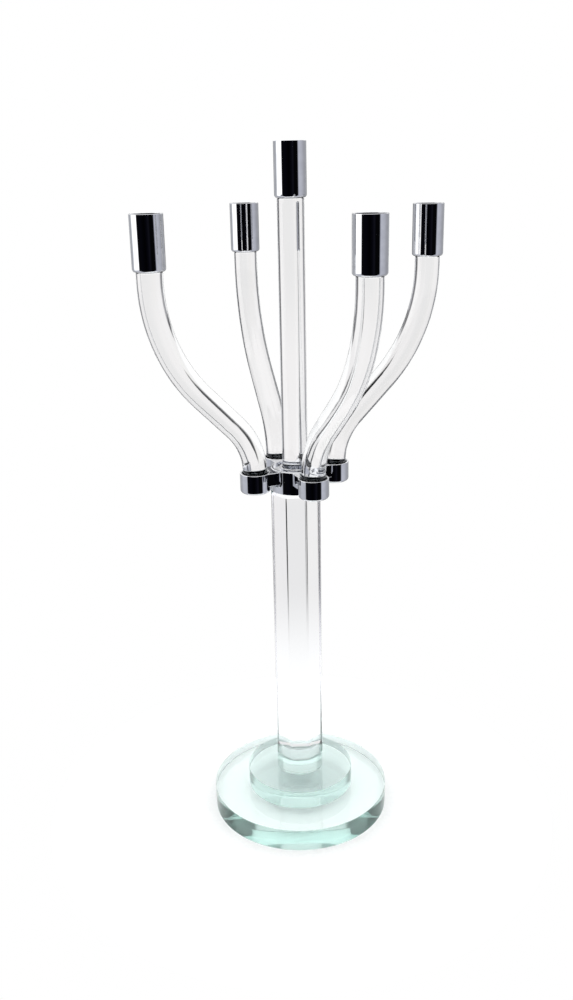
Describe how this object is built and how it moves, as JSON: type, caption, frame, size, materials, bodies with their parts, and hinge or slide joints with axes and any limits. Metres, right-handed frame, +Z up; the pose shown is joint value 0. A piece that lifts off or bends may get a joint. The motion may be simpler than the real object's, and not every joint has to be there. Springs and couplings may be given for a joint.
{
  "type": "candelabrum",
  "caption": "Free-standing glass candelabrum: stacked round discs, an eight-sided column and S-bent arms that carry open chromed candle cups.",
  "frame": {"origin": "centre of the widest disc's underside, which the object stands on", "axes": "+Z up along the column's axis; +X, +Y, -X and -Y point to the sockets of arms 1, 2, 3 and 4"},
  "size_m": [0.2241, 0.2246, 0.508],
  "materials": {
    "float_glass": "polished float glass with a pale sea-green body colour, edges ground and polished",
    "clear_glass": "water-clear drawn and cut glass, fire-polished rods and polished column faces",
    "chrome": "mirror-bright chrome plate over polished metal",
    "clear_vinyl": "clear soft vinyl tube, slightly cloudy"
  },
  "bodies": {
    "stand": {"base_disc": "float_glass", "riser_disc": "float_glass", "foot_disc": "float_glass", "column": "clear_glass", "hub": "chrome", "socket_1": "chrome", "socket_2": "chrome", "socket_3": "chrome", "socket_4": "chrome", "stem": "clear_glass", "cup_middle": "chrome"},
    "swivel_1": {"sleeve_1": "clear_vinyl"},
    "arm_1": {"arm_1": "clear_glass", "cup_1": "chrome"},
    "swivel_2": {"sleeve_2": "clear_vinyl"},
    "arm_2": {"arm_2": "clear_glass", "cup_2": "chrome"},
    "swivel_3": {"sleeve_3": "clear_vinyl"},
    "arm_3": {"arm_3": "clear_glass", "cup_3": "chrome"},
    "swivel_4": {"sleeve_4": "clear_vinyl"},
    "arm_4": {"arm_4": "clear_glass", "cup_4": "chrome"}
  },
  "joints": [
    {"name": "arm_1_swivel", "type": "hinge", "parent": "stand", "child": "swivel_1", "pos_m": [0.0315, 0, 0.2835], "axis": [0, 0, 1], "range_deg": [-35, 55]},
    {"name": "arm_1_lift", "type": "slide", "parent": "swivel_1", "child": "arm_1", "axis": [0, 0, 1], "range_m": [0, 0.03]},
    {"name": "arm_2_swivel", "type": "hinge", "parent": "stand", "child": "swivel_2", "pos_m": [0, 0.0315, 0.2835], "axis": [0, 0, 1], "range_deg": [-40, 50]},
    {"name": "arm_2_lift", "type": "slide", "parent": "swivel_2", "child": "arm_2", "axis": [0, 0, 1], "range_m": [0, 0.03]},
    {"name": "arm_3_swivel", "type": "hinge", "parent": "stand", "child": "swivel_3", "pos_m": [-0.0315, 0, 0.2835], "axis": [0, 0, 1], "range_deg": [-47, 43]},
    {"name": "arm_3_lift", "type": "slide", "parent": "swivel_3", "child": "arm_3", "axis": [0, 0, 1], "range_m": [0, 0.03]},
    {"name": "arm_4_swivel", "type": "hinge", "parent": "stand", "child": "swivel_4", "pos_m": [0, -0.0315, 0.2835], "axis": [0, 0, 1], "range_deg": [-50, 40]},
    {"name": "arm_4_lift", "type": "slide", "parent": "swivel_4", "child": "arm_4", "axis": [0, 0, 1], "range_m": [0, 0.03]}
  ]
}
